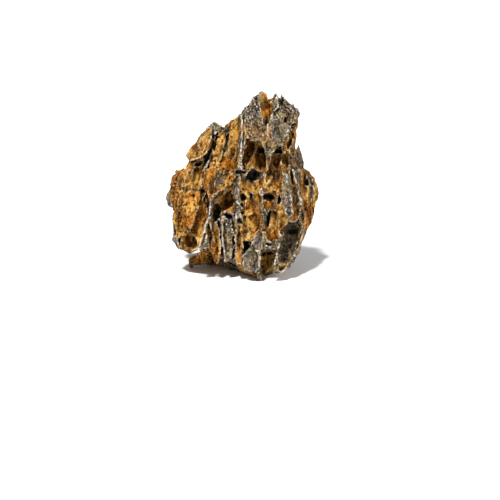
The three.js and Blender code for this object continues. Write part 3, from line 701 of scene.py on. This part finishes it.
for cell, depth, plain_share, growth, seed, weight_spread, opening in BREAKS.values():
    least = nearest_point((spread / np.array(cell)).astype(np.float32), seed, weight_spread)
    cups = np.clip(opening - least, 0.0, 1.0)
    cups = cups - INWARD_SHARE * cups.mean()
    near_field += depth * (plain_share + (1.0 - plain_share) * growth) * cups

near_field += (0.2 + 0.45 * near_crumbly) * random_wave(ROUGH_STEPS, ROUGH_SEED)[near]
field[near] = near_field
print("skin broken up at", len(near_field), "grid points in", len(BREAKS), "sizes")

# %% [markdown]
# ## A flat spot to stand on
# The photo doesn't show the foot. It is cut level at the height where the solid part is cut, so
# that the stone stands where the solid part stands.

# %% Foot
foot = grid_u * np.cos(FACE_LEAN) + grid_w * np.sin(FACE_LEAN) - FOOT_CUT
np.maximum(field, -foot.astype(np.float32), out=field)
print("foot cut at", FOOT_CUT, "millimetres")

# %% [markdown]
# ## How full of stone the space is
# Round a crest there is little stone, and round the bottom of a hollow there is much. The
# material's Ambient Occlusion node would say the same, but it is slow and only a picture, so it
# is measured here: the share of stone round each grid point, over three distances.

# %% Fullness
FINE_RADIUS = 1
WIDE_RADIUS = 3
BOWL_RADIUS = 8


def box_mean(values, radius):
    """The mean over a cube of grid points round each point, from running sums."""
    for axis in range(3):
        pads = [(0, 0), (0, 0), (0, 0)]
        pads[axis] = (radius + 1, radius)
        sums = np.cumsum(np.pad(values, pads, mode="edge"), axis=axis, dtype=np.float32)
        count = sums.shape[axis]
        upper = np.take(sums, np.arange(2 * radius + 1, count), axis=axis)
        lower = np.take(sums, np.arange(0, count - 2 * radius - 1), axis=axis)
        values = (upper - lower) / (2 * radius + 1)
    return values


solid = (field < 0.0).astype(np.float32)
fine_fill, wide_fill, bowl_fill = (
    box_mean(box_mean(solid, radius), radius)
    for radius in (FINE_RADIUS, WIDE_RADIUS, BOWL_RADIUS)
)
print("stone fills", int(solid.sum() * STEP**3 / 1000), "cubic centimetres")

# %% [markdown]
# ## From field to skin
# The skin lies where the field is zero. A Volume to Mesh modifier could find it, but then nothing
# could be measured at its points. Each cube of grid points that the skin passes through gets one
# vertex, at the mean of the places where the skin crosses the cube's edges. Each grid edge that
# the skin crosses gets one four-sided face between the four cubes round it. Loose crumbs that
# float free of the stone are left out.

# %% Skin
def skin_mesh(values):
    """Vertices on the grid's scale and faces, worked out as whole arrays."""
    inside = values < 0.0
    cubes = np.array(values.shape) - 1
    total = np.zeros(tuple(cubes) + (3,), np.float32)
    hits = np.zeros(tuple(cubes), np.float32)
    crossings = []
    for axis in range(3):
        head = [slice(None)] * 3
        tail = [slice(None)] * 3
        head[axis] = slice(0, -1)
        tail[axis] = slice(1, None)
        start = values[tuple(head)]
        end = values[tuple(tail)]
        crossed = inside[tuple(head)] != inside[tuple(tail)]
        part = np.where(crossed, start / np.where(crossed, start - end, 1.0), 0.0)
        crossings.append(crossed)
        others = [other for other in range(3) if other != axis]
        for first in (0, 1):
            for second in (0, 1):
                window = [slice(None)] * 3
                window[others[0]] = slice(first, first + cubes[others[0]])
                window[others[1]] = slice(second, second + cubes[others[1]])
                mark = crossed[tuple(window)]
                hits += mark
                total[..., axis] += np.where(mark, part[tuple(window)], 0.0)
                total[..., others[0]] += mark * first
                total[..., others[1]] += mark * second
    used = hits > 0
    numbers = np.full(tuple(cubes), -1, np.int64)
    numbers[used] = np.arange(used.sum())
    corners = np.argwhere(used)
    vertices = corners + total[used] / hits[used][:, None]
    faces = []
    for axis in range(3):
        second, third = (axis + 1) % 3, (axis + 2) % 3
        edges = np.argwhere(crossings[axis])
        room = np.all(edges[:, [second, third]] > 0, axis=1)
        room &= edges[:, second] < cubes[second]
        room &= edges[:, third] < cubes[third]
        edges = edges[room]
        quad = []
        for back_second, back_third in ((0, 0), (1, 0), (1, 1), (0, 1)):
            cube = edges.copy()
            cube[:, second] -= back_second
            cube[:, third] -= back_third
            quad.append(numbers[tuple(cube.T)])
        quad = np.stack(quad, axis=1)
        flip = ~inside[tuple(edges.T)]
        quad[flip] = quad[flip][:, ::-1]
        faces.append(quad)
    return vertices, np.concatenate(faces)


def largest_shell(vertex_count, faces):
    """Marks the vertices of the largest joined shell: each vertex takes the lowest number among
    its neighbours, again and again, until nothing changes."""
    label = np.arange(vertex_count)
    ends = np.concatenate([faces[:, [0, 1]], faces[:, [1, 2]], faces[:, [2, 3]], faces[:, [3, 0]]])
    while True:
        lowest = label.copy()
        np.minimum.at(lowest, ends[:, 0], label[ends[:, 1]])
        np.minimum.at(lowest, ends[:, 1], label[ends[:, 0]])
        lowest = lowest[lowest]
        if np.array_equal(lowest, label):
            return label == np.argmax(np.bincount(label))
        label = lowest


vertices, faces = skin_mesh(field)
kept = largest_shell(len(vertices), faces)
faces = faces[kept[faces[:, 0]]]
renumber = np.cumsum(kept) - 1
faces = renumber[faces]
vertices = vertices[kept]
print(len(vertices), "vertices and", len(faces), "faces in the skin")

# %% [markdown]
# ## What the colours follow
# Five measures go with each vertex. How full of stone the space close by is says whether it is on
# a crest, where the clay has bleached, or down in a crevice. The same a little way out from the
# skin says whether it is in a narrow hollow, and further out whether it is in a wide bowl.
# Crevices, hollows and bowls are darkened with painted shade and dark silt. The last two are how
# ochre and how crumbly the stone is there. They could be painted by hand, but measured ones follow
# every new hollow by themselves.

# %% Measures at the vertices
def at_points(values, places):
    """Values read off the grid between its points: weights are the products of the fractions."""
    low = np.clip(np.floor(places).astype(int), 0, np.array(values.shape) - 2)
    part = places - low
    result = 0.0
    for corner in np.ndindex(2, 2, 2):
        weight = np.prod(np.where(corner, part, 1.0 - part), axis=1)
        result = result + weight * values[tuple((low + corner).T)]
    return result


def unit_rows(vectors):
    """Each row divided by its own length."""
    return vectors / np.maximum(np.linalg.norm(vectors, axis=1, keepdims=True), 1e-9)


# How far out of the skin, or into it, each is measured, in steps of the grid.
HOLLOW_OUT = 3.0
BOWL_OUT = 7.0
OCHRE_IN = 0.8

slope = np.stack([at_points(part, vertices) for part in np.gradient(wide_fill)], axis=1)
outward = -unit_rows(slope)
measures = {
    "crest": 0.5 - at_points(fine_fill, vertices),
    "hollow": at_points(wide_fill, vertices + HOLLOW_OUT * outward),
    "bowl": at_points(bowl_fill, vertices + BOWL_OUT * outward),
    "ochre": at_points(warm, vertices - OCHRE_IN * outward),
    "crumbs": at_points(crumbly, vertices),
}
for name, values in measures.items():
    print(name, np.percentile(values, [5, 25, 50, 75, 95]).round(3))

# %% [markdown]
# ## One mesh, thinned
# The skin becomes one mesh in metres in the part's frame, with the measures kept on its points.
# A coarser grid would be as light but would lose the crests. So the mesh is thinned by a Decimate
# modifier, which takes points where the skin is nearly flat and leaves them on the crests.

# %% Mesh
MOST_TRIANGLES = 194000
TRIANGLES_PER_FACE = 2


def point_values(mesh, name, values):
    """Keep one number for each vertex under a name that the material can read."""
    attribute = mesh.attributes.new(name, "FLOAT", "POINT")
    attribute.data.foreach_set("value", np.ascontiguousarray(values, np.float32))


places = to_world(GRID_LOW + STEP * vertices)
rough_mesh = bpy.data.meshes.new("stone_skin_rough")
rough_mesh.from_pydata(places, [], faces.tolist())
for name, values in measures.items():
    point_values(rough_mesh, name, values)
stone = bpy.data.objects.new("stone_skin", rough_mesh)
bpy.context.scene.collection.objects.link(stone)

thin = stone.modifiers.new("thin", "DECIMATE")
thin.use_collapse_triangulate = True
thin.ratio = min(1.0, MOST_TRIANGLES / (TRIANGLES_PER_FACE * len(faces)))
seen = stone.evaluated_get(bpy.context.evaluated_depsgraph_get())
stone_mesh = bpy.data.meshes.new_from_object(seen)
stone.modifiers.clear()
stone.data = stone_mesh
stone_mesh.name = "stone_skin"
bpy.data.meshes.remove(rough_mesh)
print(len(stone_mesh.polygons), "triangles after thinning")

# %% [markdown]
# ## Flat folds
# Thinning such a broken skin leaves a few folds with no thickness: two faces on the same three
# corners, back to back. One face of each could be taken away, but the other would be left as a
# loose flap. So both are taken away, and the skin stays closed.

# %% Flat folds
def folded_faces(mesh):
    """Faces that share all three corners with one other. The three corner numbers of each face
    are put in order, and the rows that are there twice are the folds."""
    corners = np.zeros(len(mesh.loops), np.int64)
    mesh.loops.foreach_get("vertex_index", corners)
    corners = np.sort(corners.reshape(-1, 3), axis=1)
    _, row, times = np.unique(corners, axis=0, return_inverse=True, return_counts=True)
    return np.flatnonzero(times[row.ravel()] == 2).tolist()


folded = folded_faces(stone_mesh)
mending = bmesh.new()
mending.from_mesh(stone_mesh)
mending.faces.ensure_lookup_table()
bmesh.ops.delete(mending, geom=[mending.faces[face] for face in folded], context="FACES")
open_edges = sum(len(edge.link_faces) % 2 for edge in mending.edges)
mending.to_mesh(stone_mesh)
mending.free()
stone_mesh.polygons.foreach_set("use_smooth", np.ones(len(stone_mesh.polygons), bool))
print(len(folded) // 2, "folds taken away, open edges left:", open_edges)

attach(stone, "root")
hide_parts("dragon_stone")

# %% [markdown]
# ## Shader sums
# The material is worked out from small sums. Its nodes could be placed and joined one by one, but
# that is long and hard to read. Here a value that flows through the shader is wrapped, so that
# plus, minus and times can be written as such.

# %% Shader sums
class Flow:
    """A shader value: adding, taking away or multiplying makes the maths node for it."""

    def __init__(self, tree, socket):
        self.tree = tree
        self.socket = socket

    def sum_node(self, kind, *values, clamp=False):
        node = self.tree.nodes.new("ShaderNodeMath")
        node.operation = kind
        node.use_clamp = clamp
        for place, value in enumerate(values):
            feed(self.tree, node.inputs[place], value)
        return Flow(self.tree, node.outputs[0])

    def __add__(self, other):
        return self.sum_node("ADD", self, other)

    __radd__ = __add__

    def __sub__(self, other):
        return self.sum_node("SUBTRACT", self, other)

    def __rsub__(self, other):
        return self.sum_node("SUBTRACT", other, self)

    def __mul__(self, other):
        return self.sum_node("MULTIPLY", self, other)

    __rmul__ = __mul__

    def ramp(self, low, high):
        """From 0 at low to 1 at high, held at both ends."""
        return self.sum_node("MULTIPLY", self - low, 1.0 / (high - low), clamp=True)


def feed(tree, target, value):
    """Give an input a flow, a socket or a fixed value."""
    if isinstance(value, Flow):
        value = value.socket
    if isinstance(value, bpy.types.NodeSocket):
        tree.links.new(value, target)
    else:
        target.default_value = value


def make_node(tree, kind, output=0, settings=None, **inputs):
    """Any other node: settings by name, inputs by name with spaces as underscores."""
    node = tree.nodes.new(kind)
    for name, value in (settings or {}).items():
        setattr(node, name, value)
    for name, value in inputs.items():
        feed(tree, node.inputs[name.replace("_", " ")], value)
    return Flow(tree, node.outputs[output])


def mix_colours(tree, share, first, second, kind="MIX"):
    """Two colours mixed by a share, in the way named by kind."""
    node = tree.nodes.new("ShaderNodeMix")
    node.data_type = "RGBA"
    node.blend_type = kind
    feed(tree, node.inputs[0], share)
    feed(tree, node.inputs[6], first)
    feed(tree, node.inputs[7], second)
    return Flow(tree, node.outputs[2])


def colour(red, green, blue):
    """A screen colour from 0 to 255, as the light values the shader works in."""
    screen = np.array([red, green, blue]) / 255.0
    light = np.where(screen <= 0.04045, screen / 12.92, ((screen + 0.055) / 1.055) ** 2.4)
    return (*light.tolist(), 1.0)


print("shader sums ready")

# %% [markdown]
# ## Tones of the stone
# Dry clay stone has no shine. Its fresh inside is ochre, with rust and straw patches. Its outside
# has weathered grey, the crests have bleached nearly white, and the hollows get painted shade and dark
# silt.
# A photo could be wrapped round the stone, but it would smear on every wall that it doesn't show.

# %% Tones
STRAW = colour(214, 160, 78)
PALE_STRAW = colour(230, 200, 138)
OCHRE = colour(180, 112, 30)
RUST = colour(92, 50, 12)
UMBER = colour(66, 42, 18)
GREY = colour(160, 136, 90)
SLATE = colour(114, 109, 108)
DARK_GREY = colour(80, 66, 44)
DUSTY = colour(186, 168, 134)
BLEACHED = colour(240, 234, 220)
# Near black: painted shade in crevices, hollows and bowls, dark silt, and the cracks.
SHADE_AND_SILT = colour(16, 10, 4)

material = bpy.data.materials.new("dragon stone")
material.use_nodes = True
tree = material.node_tree
tree.nodes.clear()
print("eleven tones from straw to silt")

# %% [markdown]
# ## Measures and patterns
# The material reads the five measures of the skin, and breaks them up with noise of five sizes, so
# that no tone ends in a clean line. Noise stretched upright looks like the streaks that water
# leaves.

# %% Measures and patterns
def measure(name):
    """One of the numbers kept at the vertices."""
    return make_node(tree, "ShaderNodeAttribute", 2, {"attribute_name": name})


def speckle(scale, detail=4.0, stretch=(1.0, 1.0, 1.0), roughness=0.6):
    """Noise in the part's own coordinates, stretched along an axis by a smaller number."""
    coordinates = make_node(tree, "ShaderNodeTexCoord", "Object")
    stretched = make_node(tree, "ShaderNodeVectorMath", 0, {"operation": "MULTIPLY"})
    feed(tree, stretched.socket.node.inputs[0], coordinates)
    feed(tree, stretched.socket.node.inputs[1], stretch)
    return make_node(
        tree,
        "ShaderNodeTexNoise",
        0,
        Vector=stretched,
        Scale=scale,
        Detail=detail,
        Roughness=roughness,
    )


crest_flow = measure("crest")
hollow_flow = measure("hollow")
bowl_flow = measure("bowl")
ochre_flow = measure("ochre")
crumbs_flow = measure("crumbs")

patches = speckle(38.0, 6.0, (1.0, 1.0, 0.6), 0.7)
clouds = speckle(70.0, 4.0)
streaks = speckle(150.0, 4.0, (1.0, 1.0, 0.22))
grit = speckle(620.0, 3.0)
fine_grit = speckle(1100.0, 2.0)
print("measures and patterns take", len(tree.nodes), "nodes")

# %% [markdown]
# ## Ochre stone
# The ochre runs from rust through a full ochre to pale straw, with umber stains. One flat colour
# would look painted, so every tone comes and goes with two or three of the patterns.

# %% Ochre stone
ochre_tone = mix_colours(tree, (grit + (streaks - 0.5) * 1.2).ramp(0.4, 0.58), RUST, OCHRE)
straw_share = (fine_grit + (clouds - 0.5) * 2.4 + (patches - 0.5) * 2.0).ramp(0.5, 0.76)
ochre_tone = mix_colours(tree, straw_share, ochre_tone, STRAW)
umber_share = (patches * 0.6 + clouds * 0.4 + (streaks - 0.5) * 0.5).ramp(0.52, 0.34)
ochre_tone = mix_colours(tree, umber_share * 0.8, ochre_tone, UMBER)
print("ochre stone mixed")

# %% [markdown]
# ## Grey stone
# The weathered stone is a warm grey with slate patches, dark grit and a few pale flecks. Which
# parts are grey and which are ochre was said with each mass and hollow. The patterns shift the
# border between them.

# %% Grey stone
grey_tone = mix_colours(tree, (clouds + (patches - 0.5)).ramp(0.42, 0.58), GREY, SLATE)
grit_share = (grit + (streaks - 0.5) * 1.4).ramp(0.38, 0.58)
grey_tone = mix_colours(tree, grit_share, DARK_GREY, grey_tone)
flecks = (fine_grit + (grit - 0.5) * 1.2).ramp(0.6, 0.72)
grey_tone = mix_colours(tree, flecks * 0.35, grey_tone, BLEACHED)

ochre_share = (ochre_flow + (patches - 0.5) * 2.4 + (streaks - 0.5) * 0.9).ramp(0.3, 0.75)
skin_tone = mix_colours(tree, ochre_share, grey_tone, ochre_tone)
print("grey stone mixed with the ochre")

# %% [markdown]
# ## Painted shade, silt and cracks
# Painted shade and dark silt darken the crevices, the narrow hollows and, less, the wide bowls. Light
# alone would leave them too pale, because the lamps here are softer than the sun. Ochre hollows get
# less of the painted shade than grey ones. Cracks are thin dark lines where a noise crosses its middle
# value. They are only
# colour and bump: as cuts they would be finer than the mesh.

# %% Painted shade, silt and cracks
# Painted shade and silt: crevices, found by the crest measure, go nearly black.
crevice_shade_and_silt = (0.0 - crest_flow + (grit - 0.5) * 0.08).ramp(0.0, 0.13)
skin_tone = mix_colours(tree, crevice_shade_and_silt * 0.88, skin_tone, SHADE_AND_SILT)
# Painted shade and silt in narrow hollows, less on ochre.
hollow_shade_and_silt = (hollow_flow + (patches - 0.5) * 0.2).ramp(0.24, 0.54)
skin_tone = mix_colours(tree, hollow_shade_and_silt * (0.94 - 0.5 * ochre_share), skin_tone, SHADE_AND_SILT)

crack_noise = speckle(120.0, 5.0, (1.0, 1.0, 0.4), 0.65)
cracks = crack_noise.sum_node("ABSOLUTE", crack_noise - 0.5).ramp(0.022, 0.004)
skin_tone = mix_colours(tree, cracks * 0.55, skin_tone, SHADE_AND_SILT)
# Painted shade and silt in wide bowls, less on ochre.
bowl_shade_and_silt = (bowl_flow + (clouds - 0.5) * 0.12).ramp(0.16, 0.5)
skin_tone = mix_colours(tree, bowl_shade_and_silt * (0.5 - 0.36 * ochre_share), skin_tone, SHADE_AND_SILT)
print("silt and cracks laid over the tones")

# %% [markdown]
# ## Bleached crests
# The thin edges between hollows have bleached, nearly white on grey stone and pale straw on ochre.
# Edge wear is often painted, but here the crest measure finds every edge. Edges on crumbly skin
# or inside a hollow stay darker, and patches of noise break the pale lines up.

# %% Bleached crests
bleach_patches = (clouds * 0.5 + patches * 0.5 + (grit - 0.5)).ramp(0.39, 0.55)
open_share = (0.0 - hollow_flow).ramp(-0.34, -0.2)
crest_share = (crest_flow + (streaks - 0.5) * 0.16 + (grit - 0.5) * 0.16).ramp(0.07, 0.15)
crest_share = crest_share * (1.0 - 0.6 * crumbs_flow) * open_share
white_share = (crest_flow + (grit - 0.5) * 0.1).ramp(0.08, 0.15)
crest_tone = mix_colours(tree, white_share, DUSTY, BLEACHED)
crest_tone = mix_colours(tree, ochre_share * 0.8, crest_tone, PALE_STRAW)
skin_tone = mix_colours(tree, crest_share * bleach_patches * 0.92, skin_tone, crest_tone)
print("crests bleached")

# %% [markdown]
# ## Grain and finish
# The finest grain is a bump, because a mesh that fine would be far too heavy. The finish is dull
# and has almost no shine, like dry clay.

# %% Grain and finish
BUMP_DEPTH = 0.004
DULL = 0.9
SHINE = 0.06

bump_height = grit * 0.8 + fine_grit * 0.5 + streaks * 0.6 - cracks * 0.6
bump = make_node(
    tree, "ShaderNodeBump", 0, Strength=1.0, Distance=BUMP_DEPTH, Height=bump_height
)
shader = make_node(
    tree, "ShaderNodeBsdfPrincipled", 0, Base_Color=skin_tone, Roughness=DULL, Normal=bump
)
shader.socket.node.inputs["Specular IOR Level"].default_value = SHINE
output = tree.nodes.new("ShaderNodeOutputMaterial")
tree.links.new(shader.socket, output.inputs["Surface"])
stone_mesh.materials.clear()
stone_mesh.materials.append(material)
print("material with", len(tree.nodes), "nodes")

# %% [markdown]
# ## White ground
# The photo's background is plain white, as in a shop picture. A curved paper sweep would also do,
# but one level sheet that is wide enough shows no far edge, from the sides either.

# %% Ground
GROUND_SIZE = 60.0
GROUND_WHITE = 0.93
ground_mesh = bpy.data.meshes.new("ground")
half = GROUND_SIZE / 2.0
ground_mesh.from_pydata(
    [(-half, -half, 0.0), (half, -half, 0.0), (half, half, 0.0), (-half, half, 0.0)],
    [],
    [(0, 1, 2, 3)],
)
ground = bpy.data.objects.new("ground", ground_mesh)
bpy.context.scene.collection.objects.link(ground)
ground_material = bpy.data.materials.new("ground")
ground_material.use_nodes = True
ground_shader = ground_material.node_tree.nodes["Principled BSDF"]
ground_shader.inputs["Base Color"].default_value = (GROUND_WHITE,) * 3 + (1.0,)
ground_shader.inputs["Roughness"].default_value = 0.9
ground_mesh.materials.append(ground_material)
print("ground laid")

# %% [markdown]
# ## Light
# Soft light comes from high up in front, a little from the left, so every crest throws a shadow
# into its hollow. A weak, wide lamp on the right keeps that side from going flat. The white
# surround gives the rest, and is weak enough to keep the hollows dark. Area lamps would do too,
# but suns light every side of the stone alike, wherever it is looked at from.

# %% Light
SURROUND = 0.26
LAMPS = {
    # Strength, width in degrees, and the direction that the light comes from.
    "key": (6.2, 9.0, (-0.22, -0.46, 1.0)),
    "side": (1.1, 30.0, (0.8, -0.5, 0.7)),
}

world = bpy.data.worlds.new("surround")
bpy.context.scene.world = world
world.use_nodes = True
background = world.node_tree.nodes["Background"]
background.inputs["Color"].default_value = (1.0, 1.0, 1.0, 1.0)
background.inputs["Strength"].default_value = SURROUND

for name, (strength, width, direction) in LAMPS.items():
    light = bpy.data.lights.new(name, "SUN")
    light.energy = strength
    light.angle = np.radians(width)
    lamp = bpy.data.objects.new(name, light)
    bpy.context.scene.collection.objects.link(lamp)
    lamp.rotation_euler = Vector(direction).to_track_quat("Z", "Y").to_euler()

print(len(LAMPS), "lamps and the surround")

# %% [markdown]
# ## Camera
# The photo was taken from a little above with a long lens. The camera looks straight at the face
# frame, so the face's lean gives its height. A short lens close by would swell the middle of the
# stone. At the distance of the face, one millimetre fills one pixel of the 500 pixel image.

# %% Camera
LENS = 100.0
SENSOR = 36.0
VIEW_WIDTH = 500.0
FACE_W = 25.0
AIM_X = 10.0
AIM_U = 31.0
distance = VIEW_WIDTH * LENS / SENSOR
camera_data = bpy.data.cameras.new("camera")
camera_data.lens = LENS
camera_data.sensor_width = SENSOR
camera = bpy.data.objects.new("camera", camera_data)
bpy.context.scene.collection.objects.link(camera)
eye = Vector(to_world((AIM_X, AIM_U, FACE_W + distance)))
aim = Vector(to_world((AIM_X, AIM_U, FACE_W)))
camera.location = eye
camera.rotation_euler = (aim - eye).to_track_quat("-Z", "Y").to_euler()
bpy.context.scene.camera = camera
bpy.context.scene.view_settings.view_transform = "Standard"
print("camera at", tuple(round(value, 3) for value in eye))
